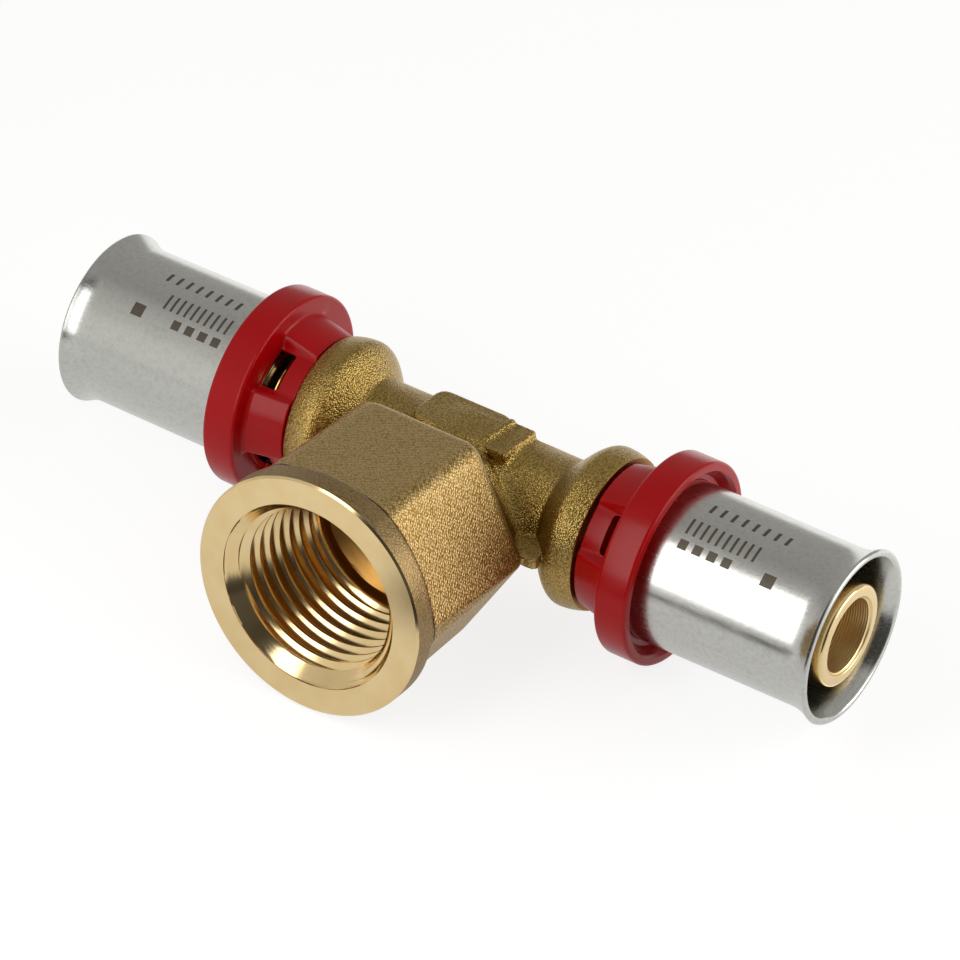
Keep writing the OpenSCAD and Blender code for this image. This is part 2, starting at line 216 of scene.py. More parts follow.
# Forged blank of the tee, before any machining. The space that is sampled ends at uneven places,
# so that no plane of its grid meets a machined face.
forging = {
    "neckRadius": 6.15,
    "ballRadius": 9.35, "ballPlace": 16.4, "ballInner": 6.4, "ballOuter": 8.3, "ballBlend": 0.2,
    "flankStart": 12.75, "flankSlope": 1.1, "flankBlend": 0.6,
    "lowerShift": 0.35, "lowerRise": 0.1, "partingStep": 0.2,
    "hexBack": 11.0, "hexFront": 28.1, "flatBack": 12.35, "flatFront": 12.75,
    "cornerBlend": 1.4, "sideBlend": 0.4, "ridgeBlend": 0.55,
    "slopeFoot": 5.6, "slopeFootFlat": 7.0,
    "saddleRadius": 6.9, "saddleBlend": 4.0, "saddleHexBlend": 1.0,
    "collarRadius": 14.25, "collarSlope": 1.375, "collarEase": 0.3, "collarBlend": 0.08, "collarTrim": 0.1,
    "padLow": (-6.1, -3.9, 0), "padHigh": (3.6, 2.6, 9.5), "padTop": 7.3, "padCorner": 1.4,
    "padRightLow": (0, -3.9, 0), "padRightHigh": (6.55, 2.45, 9.5), "padRightTop": 7.0, "padRightCorner": 0.3,
    "padEdge": 0.4, "padJoin": 0.2, "padBlend": 0.5,
    "webLow": (-15.35, -10.4, -4), "webHigh": (15.35, 0, 4), "webCorner": 0.8,
    "webMiddle": -0.22, "webThickness": 1.36, "webEdge": 0.2, "webBlend": 0.2,
    "blankEnd": 32.0, "runEnd": 19.7, "sharpOver": 32,
    "spaceLow": (-20.23, -32.43, -15.21), "spaceHigh": (20.2, 10.4, 15.2), "gridStep": 0.33,
}

# Small marks that the die left beside the pad's right end: a raised seam, the groove beside it,
# a crevice under the front corner and the curl of flash below that. Bars are (start, end, radius).
dieMarks = {
    "seam": ((3.5, 2.0, 7.0), (3.05, -2.6, 7.0), 0.42), "seamBlend": 0.25,
    "groove": ((4.45, 1.75, 7.3), (4.15, -1.9, 7.3), 0.5), "grooveBlend": 0.2,
    "crevice": {
        "back": -3.85, "front": -4.1, "spread": 0.35, "from": 4.2, "floor": 5.7, "end": 7.0, "blend": 0.15,
    },
    "curl": ((5.1, -5.4, 5.75), (6.5, -5.9, 4.85), 0.55), "curlBlend": 0.5,
}


# Materials

# sRGB hex to linear light
def linearColour(code):
    channel = np.array([int(code[i:i + 2], 16) for i in (1, 3, 5)]) / 255
    channel = np.where(channel <= 0.04045, channel / 12.92, ((channel + 0.055) / 1.055) ** 2.4)
    return (*[float(c) for c in channel], 1.0)


# Adds a node. Settings are its sockets' values or its own properties, and links give a socket its source.
def addNode(tree, kind, settings=None, links=None):
    node = tree.nodes.new(kind)
    for key, value in (settings or {}).items():
        if isinstance(key, int) or key in node.inputs:
            node.inputs[key].default_value = value
        else:
            setattr(node, key, value)
    for key, source in (links or {}).items():
        tree.links.new(getattr(source, "outputs", [source])[0], node.inputs[key])
    return node


# Empty material with its shader, whose fixed values are set on its own sockets
def newFinish(name, settings):
    finish = bpy.data.materials.new(name)
    finish.use_nodes = True
    tree = finish.node_tree
    shader = tree.nodes["Principled BSDF"]
    for key, value in settings.items():
        shader.inputs[key].default_value = value
    return finish, tree, shader


# Scale of a pattern that repeats every so many millimetres, on coordinates in metres
def perMetre(size):
    return 1 / (size * mm)


# Arithmetic on up to three values, each a number or another node's output
def compute(tree, operation, *values):
    numbers = {index: value for index, value in enumerate(values) if isinstance(value, (int, float))}
    sources = {index: value for index, value in enumerate(values) if not isinstance(value, (int, float))}
    return addNode(tree, "ShaderNodeMath", {"operation": operation, **numbers}, sources).outputs[0]


# Value that eases from low to high while another one goes from start to end
def ease(tree, value, start, end, low=0.0, high=1.0):
    settings = {"From Min": start, "From Max": end, "To Min": low, "To Max": high}
    settings["interpolation_type"] = "SMOOTHSTEP"
    return addNode(tree, "ShaderNodeMapRange", settings, {"Value": value}).outputs[0]


# The same over two places given in millimetres
def easeOver(tree, value, places):
    return ease(tree, value, *(place * mm for place in places))


# Colour between two others, the first up to start and the second from end on
def tintBetween(tree, value, tones, start=0.0, end=1.0):
    tint = addNode(tree, "ShaderNodeValToRGB", links={"Fac": value})
    for element, code, position in zip(tint.color_ramp.elements, tones, (start, end)):
        element.position = position
        element.color = linearColour(code)
    return tint.outputs[0]


# Mixture of two colours or two numbers, each a value or another node's output
def mixed(tree, share, first, second, colour=False):
    places = (6, 7) if colour else (2, 3)
    settings = {"data_type": "RGBA"} if colour else {}
    links = {0: share}
    for place, value in zip(places, (first, second)):
        (settings if isinstance(value, (int, float, tuple)) else links)[place] = value
    return addNode(tree, "ShaderNodeMix", settings, links).outputs[2 if colour else 0]


# Noise on a material's coordinates, with a real size in millimetres
def noise(tree, place, size, detail, roughness=0.5):
    settings = {"Scale": perMetre(size), "Detail": detail, "Roughness": roughness}
    return addNode(tree, "ShaderNodeTexNoise", settings, {"Vector": place}).outputs["Fac"]


# Shader that is the first where the share is 0 and the second where it is 1
def eitherShader(tree, share, first, second):
    return addNode(tree, "ShaderNodeMixShader", links={0: share, 1: first, 2: second})


# Forged brass, shot-blasted after the flash was trimmed: olive gold that breaks into sparkling grains
# on the run and into leaning pebbles like coarse cloth on the branch, calmer on its top flat and on the collar,
# with painted shade in the crease between the collar and the flats.
# The real shot marks are finer, so they are drawn 0.2 to 0.3 mm apart to show.
# The colour follows the relief: the grains' raised middles are painted lighter as painted glints, and their
# hollows darker as painted shade.
brassLook = {
    "grain": 0.21, "grainDepth": 0.08,
    "pebble": 0.26, "stretch": 1.35, "lean": (0.0, 0.489, -0.785), "pebbleDepth": 0.05, "evenness": 0.55,
    "grit": 0.16, "gritDepth": 0.03, "unevenness": 2.6, "unevenDepth": 0.04, "roughness": (0.29, 0.42),
    "calm": 0.5, "glintAndShadeContrast": 1.5, "gritTint": 0.5, "middle": 0.4, "gritMiddle": 0.5,
    "run": ("#967b42", "#dfbd6e"), "branch": ("#94743a", "#f6dca0"), "collar": ("#856c44", "#c6ab7c"),
    "branchFrom": (-6.0, -13.0), "collarGap": (0.14, 0.08),
    "topFacing": (0.9, 0.98), "topHeight": (8.0, 10.0),
    "creaseShadeStrength": 0.85, "paintedCreaseShadeTone": "#2a1d0c", "creaseShadeStart": (0.02, 0.1), "creaseShadeEnd": (0.36, 0.18),
}


# Distance to the collar's cone and cylinder, which tells the collar from the flats and finds their crease,
# where painted shade goes
def collarDistance(tree, x, y, z):
    slope = forging["collarSlope"]
    square = compute(tree, "ADD", compute(tree, "MULTIPLY", x, x), compute(tree, "MULTIPLY", z, z))
    beyond = compute(tree, "SUBTRACT", compute(tree, "SQRT", square), forging["collarRadius"] * mm)
    behind = compute(tree, "MULTIPLY", compute(tree, "ADD", y, forging["hexFront"] * mm), slope)
    cone = compute(tree, "DIVIDE", compute(tree, "ADD", beyond, behind), math.hypot(1, slope))
    return compute(tree, "MAXIMUM", beyond, cone)


def shotBlastedBrass():
    look = brassLook
    finish, tree, shader = newFinish("shotBlastedForgedBrass", {"Metallic": 1.0})
    place = addNode(tree, "ShaderNodeTexCoord").outputs["Object"]
    x, y, z = addNode(tree, "ShaderNodeSeparateXYZ", links={0: place}).outputs
    lean = {"vector_type": "TEXTURE", "Rotation": look["lean"], "Scale": (look["stretch"], 1.0, 1.0)}
    leaning = addNode(tree, "ShaderNodeMapping", lean, {"Vector": place})
    pebble = {"Scale": perMetre(look["pebble"]), "Randomness": look["evenness"]}
    pebbles = addNode(tree, "ShaderNodeTexVoronoi", pebble, {"Vector": leaning}).outputs["Distance"]
    grain = {"Scale": perMetre(look["grain"])}
    grains = addNode(tree, "ShaderNodeTexVoronoi", grain, {"Vector": place}).outputs["Distance"]
    grit = noise(tree, place, look["grit"], detail=1.0)
    waves = noise(tree, place, look["unevenness"], detail=3.0)

    gap = collarDistance(tree, x, y, z)
    onBranch = easeOver(tree, y, look["branchFrom"])
    onCollar = compute(tree, "MULTIPLY", easeOver(tree, gap, look["collarGap"]), onBranch)
    creaseShadeMask = easeOver(tree, gap, look["creaseShadeStart"])
    creaseShadeMask = compute(tree, "MULTIPLY", creaseShadeMask, easeOver(tree, gap, look["creaseShadeEnd"]))
    normal = addNode(tree, "ShaderNodeNewGeometry").outputs["True Normal"]
    facing = addNode(tree, "ShaderNodeSeparateXYZ", links={0: normal}).outputs[2]
    onTop = ease(tree, facing, *look["topFacing"])
    onTop = compute(tree, "MULTIPLY", onTop, easeOver(tree, z, look["topHeight"]))
    strength = compute(tree, "MULTIPLY_ADD", compute(tree, "MAXIMUM", onCollar, onTop), -look["calm"], 1.0)

    # how far a point lies from the middle of its grain or pebble, less the usual distance
    hollow = compute(tree, "SUBTRACT", mixed(tree, onBranch, grains, pebbles), look["middle"])
    hollow = compute(tree, "MULTIPLY", hollow, strength)
    fine = compute(tree, "MULTIPLY", compute(tree, "SUBTRACT", grit, look["gritMiddle"]), look["gritTint"])
    fine = compute(tree, "ADD", fine, look["middle"])
    # painted glints and shade: lighter where the grain stands up, darker in its hollows, with random grit tone
    # added
    share = compute(tree, "MULTIPLY_ADD", hollow, -look["glintAndShadeContrast"], fine)
    run, branch, collar = (tintBetween(tree, share, look[key]) for key in ("run", "branch", "collar"))
    # tints by region: the run, the branch, and the collar with its own darker, narrower pair
    regionTint = mixed(tree, onCollar, mixed(tree, onBranch, run, branch, True), collar, True)
    # painted shade: on the branch the crease between the collar and the flats is darkened towards dark brown
    paintedCreaseShade = compute(tree, "MULTIPLY", compute(tree, "MULTIPLY", creaseShadeMask, onBranch), look["creaseShadeStrength"])
    colour = mixed(tree, paintedCreaseShade, regionTint, linearColour(look["paintedCreaseShadeTone"]), True)
    tree.links.new(colour, shader.inputs["Base Color"])

    depth = mixed(tree, onBranch, look["grainDepth"], look["pebbleDepth"])
    relief = compute(tree, "MULTIPLY", hollow, compute(tree, "MULTIPLY", depth, -1.0))
    relief = compute(tree, "MULTIPLY_ADD", grit, look["gritDepth"], relief)
    relief = compute(tree, "MULTIPLY_ADD", waves, look["unevenDepth"], relief)
    bump = addNode(tree, "ShaderNodeBump", {"Distance": mm}, {"Height": relief})
    tree.links.new(bump.outputs[0], shader.inputs["Normal"])
    tree.links.new(mixed(tree, onBranch, *look["roughness"]), shader.inputs["Roughness"])
    return finish


# Brass turned on a lathe: pale and glossy, with slow clouding. Where the tool's feed shows, fine rings
# scatter the light along the axis, so a bore stays light far down.
# The drilled pair is darker: it is painted shade, for the deep bore beyond the thread and for the shoulders'
# end faces. Its roughness is the drilled finish.
lathe = {
    "pale": ("#ecce96", "#f3daa6"), "shadedDrilled": ("#a87a40", "#c4944e"),
    "cloud": 3.5, "cloudSpan": (0.3, 0.7), "waviness": 1.0, "strength": 0.8,
}


def turnedBrass(name, roughness, feed, ringDepth, axis, pair="pale"):
    look = lathe
    finish, tree, shader = newFinish(name, {"Metallic": 1.0, "Roughness": roughness})
    place = addNode(tree, "ShaderNodeTexCoord").outputs["Object"]
    clouds = noise(tree, place, look["cloud"], detail=4.0)
    tree.links.new(tintBetween(tree, clouds, look[pair], *look["cloudSpan"]), shader.inputs["Base Color"])
    # the wave texture draws 20 / 2 pi bands for each unit of its scale
    bands = perMetre(feed) * 2 * math.pi / 20
    settings = {"bands_direction": axis, "Scale": bands, "Distortion": look["waviness"], "Detail": 1.0}
    rings = addNode(tree, "ShaderNodeTexWave", settings, {"Vector": place})
    settings = {"Strength": look["strength"], "Distance": ringDepth * mm}
    bump = addNode(tree, "ShaderNodeBump", settings, {"Height": rings.outputs["Fac"]})
    tree.links.new(bump.outputs[0], shader.inputs["Normal"])
    return finish


# Etched marks on the sleeves: rows of ticks and small squares. Each row has its angle from -Y towards +Z, its
# height round the sleeve, its start and length along the run, and its marks' spacing and their share of that.
# The hair is added to each share, so that a share of 1 leaves no gap.
etching = {
    "radius": 9.2, "depth": 0.006, "strength": 0.5, "roughness": 0.5, "tone": "#6f685e", "hair": 0.001,
    "rows": [
        {"angle": 64, "height": 2.0, "start": 30.2, "length": 9.2, "spacing": 0.92, "share": 0.34},
        {"angle": 50, "height": 1.1, "start": 30.2, "length": 7.2, "spacing": 1.8, "share": 0.6},
        {"angle": 50, "height": 1.5, "start": 40.6, "length": 1.5, "spacing": 1.5, "share": 1.0},
        {"angle": 84, "height": 1.4, "start": 31.0, "length": 10.8, "spacing": 1.35, "share": 0.3},
    ],
}


# Stainless steel tube, drawn and left satin: soft grey with fine lengthwise grain, a few specks and dull
# etched marks. The real grain is finer than a pixel, so it is drawn 0.2 mm wide.
steelLook = {
    "grain": 0.2, "length": 14.0, "grainDepth": 0.004, "grainStrength": 0.25,
    "grainSpan": (0.3, 0.7), "roughness": (0.18, 0.28),
    "speck": 0.5, "speckSpan": (0.3, 0.55), "tones": ("#c2c2bc", "#d0d0cb"),
}


def satinStainless():
    look = steelLook
    finish, tree, shader = newFinish("satinDrawnStainless", {"Metallic": 1.0})
    place = addNode(tree, "ShaderNodeTexCoord").outputs["Object"]
    along = addNode(tree, "ShaderNodeMapping", {"Scale": (1 / look["length"], 1.0, 1.0)}, {"Vector": place})
    grain = noise(tree, along, look["grain"], detail=3.0)
    specks = noise(tree, place, look["speck"], detail=5.0, roughness=0.7)

    # a mark lies within half its row's height and length, and in the first share of each spacing
    x, y, z = addNode(tree, "ShaderNodeSeparateXYZ", links={0: place}).outputs
    reach = compute(tree, "ABSOLUTE", x)
    angle = compute(tree, "ARCTAN2", z, compute(tree, "MULTIPLY", y, -1.0))
    marks = None
    for row in etching["rows"]:
        start, length, spacing = (row[key] * mm for key in ("start", "length", "spacing"))
        half = row["height"] / etching["radius"] / 2
        inHeight = compute(tree, "COMPARE", angle, math.radians(row["angle"]), half)
        inLength = compute(tree, "COMPARE", reach, start + length / 2, length / 2)
        step = compute(tree, "FRACT", compute(tree, "DIVIDE", compute(tree, "SUBTRACT", reach, start), spacing))
        tick = compute(tree, "LESS_THAN", step, row["share"] + etching["hair"])
        mark = compute(tree, "MULTIPLY", compute(tree, "MULTIPLY", inHeight, inLength), tick)
        marks = mark if marks is None else compute(tree, "MAXIMUM", marks, mark)

    steel = tintBetween(tree, specks, look["tones"], *look["speckSpan"])
    colour = mixed(tree, marks, steel, linearColour(etching["tone"]), True)
    tree.links.new(colour, shader.inputs["Base Color"])
    limits = zip(("From Min", "From Max", "To Min", "To Max"), look["grainSpan"] + look["roughness"])
    gloss = addNode(tree, "ShaderNodeMapRange", dict(limits), {"Value": grain})
    dulled = compute(tree, "MAXIMUM", gloss, compute(tree, "MULTIPLY", marks, etching["roughness"]))
    tree.links.new(dulled, shader.inputs["Roughness"])
    settings = {"Strength": look["grainStrength"], "Distance": look["grainDepth"] * mm}
    bump = addNode(tree, "ShaderNodeBump", settings, {"Height": grain})
    settings = {"Strength": etching["strength"], "Distance": etching["depth"] * mm, "invert": True}
    etched = addNode(tree, "ShaderNodeBump", settings, {"Height": marks, "Normal": bump})
    tree.links.new(etched.outputs[0], shader.inputs["Normal"])
    return finish


# Clouded colour and a fine relief, as on moulded plastic and rubber
def moulded(name, settings, tones, cloud, relief, depth, strength):
    finish, tree, shader = newFinish(name, settings)
    place = addNode(tree, "ShaderNodeTexCoord").outputs["Object"]
    clouds = noise(tree, place, cloud[0], detail=cloud[1])
    tree.links.new(tintBetween(tree, clouds, tones), shader.inputs["Base Color"])
    peel = noise(tree, place, relief[0], detail=relief[1])
    bump = addNode(tree, "ShaderNodeBump", {"Strength": strength, "Distance": depth * mm}, {"Height": peel})
    tree.links.new(bump.outputs[0], shader.inputs["Normal"])
    return finish


# Polyamide, injection moulded in a polished mould: deep red with a soft gloss and a faint orange peel.
# EPDM rubber, moulded: near black, with a dull sheen and a fine tooth.
# Cloud and relief are (size in millimetres, detail).
mouldings = {
    "nylon": {
        "name": "mouldedRedNylon", "tones": ("#a80409", "#b4060d"),
        "settings": {"Roughness": 0.22, "IOR": 1.53, "Specular IOR Level": 0.22},
        "cloud": (6.0, 2.0), "relief": (1.3, 1.0), "depth": 0.02, "strength": 0.15,
    },
    "rubber": {
        "name": "mouldedBlackRubber", "tones": ("#161616", "#262524"),
        "settings": {"Roughness": 0.55, "IOR": 1.52},
        "cloud": (0.3, 3.0), "relief": (0.3, 3.0), "depth": 0.02, "strength": 0.3,
    },
}


forgedBrass = shotBlastedBrass()
machinedBrass = turnedBrass("turnedBrass", roughness=0.16, feed=0.3, ringDepth=0.002, axis="Y")
boredBrass = turnedBrass("boredBrass", roughness=0.4, feed=0.3, ringDepth=0.05, axis="X")
drilledBrassPaintedShade = turnedBrass("drilledBrassPaintedShade", roughness=0.38, feed=0.5, ringDepth=0.01, axis="Y", pair="shadedDrilled")
stainless = satinStainless()
redNylon = moulded(**mouldings["nylon"])
blackRubber = moulded(**mouldings["rubber"])
print("materials ready")


# Width over the flats as a distance from the branch's axis: the largest of the three flat pairs' distances,
# with the corners eased.
def hexDistance(x, z):
    c, s = math.cos(math.pi / 6), math.sin(math.pi / 6)
    top = np.abs(z + 0 * x)
    slanted = smoothMax(np.abs(c * x + s * z), np.abs(c * x - s * z), forging["sideBlend"])
    return smoothMax(top, slanted, forging["cornerBlend"])


# Distance to a box with rounded edges: length of the part outside the shrunk box, less the rounding
def boxDistance(x, y, z, low, high, rounding):
    gaps = [np.abs(p - (a + b) / 2) - ((b - a) / 2 - rounding) for p, a, b in zip((x, y, z), low, high)]
    outside = np.sqrt(sum(np.maximum(g, 0) ** 2 for g in gaps))
    return outside + np.minimum(np.maximum(np.maximum(gaps[0], gaps[1]), gaps[2]), 0) - rounding


# Distance to a round bar between two points: length from the nearest point of its axis, less its radius
def barDistance(x, y, z, start, end, radius):
    start, reach = np.array(start), np.array(end) - np.array(start)
    offset = [x - start[0], y - start[1], z - start[2]]
    share = np.clip(sum(o * r for o, r in zip(offset, reach)) / (reach ** 2).sum(), 0, 1)
    return np.sqrt(sum((o - share * r) ** 2 for o, r in zip(offset, reach))) - radius


# Hexagon with its draft and its sloping back, the saddle behind it and the round collar before it
def branchBlank(x, depth, z):
    f = forging
    flats = hexDistance(x, z)
    fromAxis = np.sqrt(x ** 2 + z ** 2)
    draft = (f["flatFront"] - f["flatBack"]) / (f["hexFront"] - f["hexBack"])
    prism = flats - (f["flatBack"] + draft * (depth - f["hexBack"]))
    rise = (f["flatBack"] - f["slopeFootFlat"]) / (f["hexBack"] - f["slopeFoot"])
    slope = (flats - (f["slopeFootFlat"] + rise * (depth - f["slopeFoot"]))) / math.hypot(1, rise)
    hexagon = smoothMax(prism, slope, f["ridgeBlend"])
    back = fromAxis - f["collarRadius"] + (f["hexFront"] - depth) * f["collarSlope"]
    back = back / math.hypot(1, f["collarSlope"])
    collar = smoothMax(fromAxis - f["collarRadius"], back, f["collarEase"])
    branch = smoothMin(hexagon, collar, f["collarBlend"])
    branch = smoothMax(branch, fromAxis - f["collarRadius"], f["collarTrim"])
    saddle = np.maximum(fromAxis - f["saddleRadius"], np.maximum(-depth, depth - f["hexBack"]))
    return np.maximum(smoothMin(branch, saddle, f["saddleHexBlend"]), depth - f["blankEnd"])


# Smooth union of the neck, the two balls, the branch, the webs in the parting plane and the pad in its
# two levels, with the die's small marks added to it or cut out of it
def forgedBlank(x, y, z):
    f = forging
    side = np.abs(x)
    neck = np.sqrt(y ** 2 + z ** 2) - f["neckRadius"] + 0 * side
    # below the parting plane the ball sits a little nearer to the branch and stands a little prouder
    lower = np.clip(0.5 - z / f["partingStep"], 0, 1)
    fromBall = side - f["ballPlace"] + f["lowerShift"] * lower
    stretched = fromBall * f["ballRadius"] / np.where(fromBall < 0, f["ballInner"], f["ballOuter"])
    reach = f["ballRadius"] + f["lowerRise"] * lower
    ball = (np.sqrt(stretched ** 2 + y ** 2 + z ** 2) - reach) * f["ballInner"] / f["ballRadius"]
    flank = neck - (side - f["flankStart"] + f["lowerShift"] * lower) * f["flankSlope"]
    ball = smoothMax(ball, flank / math.hypot(1, f["flankSlope"]), f["flankBlend"])
    body = smoothMin(smoothMin(neck, branchBlank(x, -y, z), f["saddleBlend"]), ball, f["ballBlend"])
    web = boxDistance(x, y, z, f["webLow"], f["webHigh"], f["webCorner"])
    web = smoothMax(web, np.abs(z - f["webMiddle"]) - f["webThickness"] / 2, f["webEdge"])
    body = smoothMin(body, web, f["webBlend"])
    pad = boxDistance(x, y, z, f["padLow"], f["padHigh"], f["padCorner"])
    pad = smoothMax(pad, z - f["padTop"], f["padEdge"])
    padRight = boxDistance(x, y, z, f["padRightLow"], f["padRightHigh"], f["padRightCorner"])
    padRight = smoothMax(padRight, z - f["padRightTop"], f["padEdge"])
    m = dieMarks
    pad = smoothMin(smoothMin(pad, padRight, f["padJoin"]), barDistance(x, y, z, *m["seam"]), m["seamBlend"])
    pad = smoothMax(pad, -barDistance(x, y, z, *m["groove"]), m["grooveBlend"])
    body = smoothMin(body, pad, f["padBlend"])
    c = m["crevice"]
    across = np.maximum(y - c["back"], c["front"] - c["spread"] * (x - c["from"]) - y)
    crevice = np.maximum(across, np.maximum(c["floor"] - z, x - c["end"]))
    body = smoothMax(body, -crevice, c["blend"])
    body = smoothMin(body, barDistance(x, y, z, *m["curl"]), m["curlBlend"])
    return np.maximum(body, side - f["runEnd"])


# Machined ends of the run
shoulderCut = {"face": 18.94, "bevel": 0.05, "outside": 12.0, "reach": 24.0, "faceColumns": 160}
nipple = {
    "start": 17.5, "tip": 48.8, "radius": 5.9, "root": 21.0, "rootRadius": 6.3,
    "barbDepth": 0.35, "barbPitch": 1.5, "barbLean": 0.02, "land": 0.5,
    "snap": (19.738, 20.562), "snapDepth": 0.35,
    "grooves": (29.5, 38.0), "grooveWidth": 2.0, "grooveDepth": 0.9,
    "tipLand": 44.6, "tipRound": 0.5, "edgeSteps": 2, "tipSteps": 6, "columns": 96,
}
waterway = {"radius": 4.3, "bevel": 0.35, "past": 1.0, "columns": 96}


# Barbs from one place to another, each steep towards the root and sloping towards the tip
def barbRow(start, end):
    n = nipple
    count = int((end - start) / n["barbPitch"])
    first = start + (end - start - count * n["barbPitch"]) / 2
    valley, corners = n["radius"] - n["barbDepth"], []
    for i in range(count):
        x = first + i * n["barbPitch"]
        corners += [(x, valley, 0.04), (x + n["barbLean"], n["radius"], 0.05)]
    return corners + [(first + count * n["barbPitch"], valley, 0.02)]


# Outline of a nipple from inside the ball to the tip, with the snap groove, two seal grooves and the barbs.
# Each corner ends with how far it is eased, a few hundredths where the edge is sharp.
def nippleOutline():
    n = nipple
    half, top, valley = n["grooveWidth"] / 2, n["radius"], n["radius"] - n["barbDepth"]
    floor, root = n["radius"] - n["grooveDepth"], n["rootRadius"]
    snapFloor = root - n["snapDepth"]
    corners = [(n["start"], 0, 0), (n["start"], root, 0)]
    corners += [(n["snap"][0], root, 0.06), (n["snap"][0], snapFloor, 0.06)]
    corners += [(n["snap"][1], snapFloor, 0.06), (n["snap"][1], root, 0.06)]
    corners += [(n["root"], root, 0.1), (n["root"], valley, 0.05)]
    start = n["root"] + n["land"]
    for groove in n["grooves"]:
        first, last = groove - half - n["land"], groove + half + n["land"]
        corners += barbRow(start, first)
        corners += [(first, valley, 0.05), (first, top, 0.05)]
        corners += [(groove - half, top, 0.08), (groove - half, floor, 0.1)]
        corners += [(groove + half, floor, 0.1), (groove + half, top, 0.08)]
        corners += [(last, top, 0.05), (last, valley, 0.05)]
        start = last
    corners += barbRow(start, n["tipLand"])
    landStart = n["tipLand"] + n["tipRound"]
    corners += [(n["tipLand"], valley, 0.05), (n["tipLand"], top, 0.1), (landStart, top, 0)]
    tip = [(landStart, top, 0), (n["tip"], top, n["tipRound"]), (n["tip"], 0, 0)]
    return np.concatenate([easedOutline(corners, n["edgeSteps"]), easedOutline(tip, n["tipSteps"])])


# Threaded bore of the branch, measured from its face at depth 0
branchBore = {
    "face": 31.03, "bevel": 0.25, "outside": 18.0, "reach": 35.03, "faceColumns": 192,
    "pitch": 1.814, "crest": 9.32, "root": 10.48, "crestShare": 0.12, "flankShare": 0.72,
    "crestEase": 0.12, "rootEase": 0.25, "threadEnd": 14.4, "runOut": 1.6,
    "mouth": 11.0, "lip": 0.12, "outFrom": -1.5, "floor": 17.0, "port": 4.2, "drillAngle": 118.0,
    "stepsPerTurn": 12, "columns": 128,
}


# Height of the thread at a phase from 0 to 1: straight flanks between a narrow crest and a rounded root
def threadHeight(phase):
    b = branchBore
    triangle = np.abs(2 * (phase % 1) - 1)
    ramp = (triangle - b["crestShare"]) / b["flankShare"]
    return smoothMax(smoothMin(ramp, 1.0 + 0 * ramp, b["crestEase"]), 0 * ramp, b["rootEase"])


# Cavity of the branch as a helical grid: rows climb one pitch in a turn, so that crests run along rows.
# Radius = larger of the bevelled mouth and the thread, which fades out before the smooth bore's floor.
def branchCavity(materials):
    b = branchBore
    columns = b["columns"]
    lowest, highest = b["outFrom"], b["face"]
    turns = math.ceil((highest - lowest) / b["pitch"]) + 1
    row = np.arange(turns * b["stepsPerTurn"] + 1)[:, None]
    turn = np.arange(columns)[None, :] / columns
    depth = np.clip(lowest + b["pitch"] * (row / b["stepsPerTurn"] - 1 + turn), lowest, highest)
    phase = depth / b["pitch"] - turn
    fade = np.clip((b["threadEnd"] + b["runOut"] - depth) / b["runOut"], 0, 1)
    radius = b["crest"] + (b["root"] - b["crest"]) * (1 - threadHeight(phase)) * fade
    radius = np.maximum(radius, b["mouth"] - np.maximum(depth - b["lip"], 0))
    cone = b["crest"] - (depth - b["floor"]) * math.tan(math.radians(b["drillAngle"] / 2))
    radius = np.where(depth > b["floor"], np.maximum(np.minimum(radius, cone), b["port"]), radius)
    angle = 2 * math.pi * turn + 0 * depth
    points = np.stack([radius * np.cos(angle), depth - b["face"], radius * np.sin(angle)], axis=-1)
    # flat ends: a row at each end that shrinks to the axis
    outer, inner = points[:1] * [0, 1, 0], points[-1:] * [0, 1, 0]
    body = gridQuads(len(row), columns, rowShift=b["stepsPerTurn"]) + columns
    first, last = gridQuads(2, columns), gridQuads(2, columns) + len(row) * columns
    quads = np.concatenate([first, body, last])
    tool = solidMesh("branchCavity", np.concatenate([outer, points, inner]), quads, materials)
    # the second material, whose darker colour is painted shade, lies beyond the thread
    centre = np.empty(len(tool.data.polygons) * 3)
    tool.data.polygons.foreach_get("center", centre)
    beyond = centre[1::3] > (b["threadEnd"] + b["runOut"] - b["face"]) * mm
    tool.data.polygons.foreach_set("material_index", beyond.astype(np.int32))
    return tool


def makeTee():
    f, s, n, w = forging, shoulderCut, nipple, waterway
    tee = blendedSkin("teeForging", forgedBlank, f["spaceLow"], f["spaceHigh"], f["gridStep"], [forgedBrass])
    # radius of the ball where the bevel starts, by the equation of an ellipse
    fromBall = (s["face"] - s["bevel"] - f["ballPlace"]) / f["ballOuter"]
    rim = f["ballRadius"] * math.sqrt(1 - fromBall ** 2)
    for side in (1, -1):
        # the shoulders' end faces take the drilled brass, whose darker colour is painted shade for the gap
        # before the rings
        carve(tee, faceTool("shoulderTool", s, rim, drilledBrassPaintedShade, side), "DIFFERENCE")
        outline = nippleOutline() * [side, 1]
        carve(tee, turnedSolid("nippleTool", outline, n["columns"], [machinedBrass]), "UNION")
    carve(tee, faceTool("faceTool", branchBore, f["collarRadius"], machinedBrass, about="Y"), "DIFFERENCE")
    carve(tee, branchCavity([machinedBrass, drilledBrassPaintedShade]), "DIFFERENCE")
    half = [(n["tip"] - w["bevel"], w["radius"]), (n["tip"], w["radius"] + w["bevel"])]
    half += [(n["tip"] + w["past"], w["radius"] + w["bevel"]), (n["tip"] + w["past"], 0)]
    water = np.concatenate([np.array(half)[::-1] * [-1, 1], half])
    carve(tee, turnedSolid("waterTool", water, w["columns"], [boredBrass]), "DIFFERENCE")
    crispEdges(tee, f["sharpOver"])
    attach(tee, "tee")
    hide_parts("tee_body")
    print("tee made:", len(tee.data.polygons), "faces")


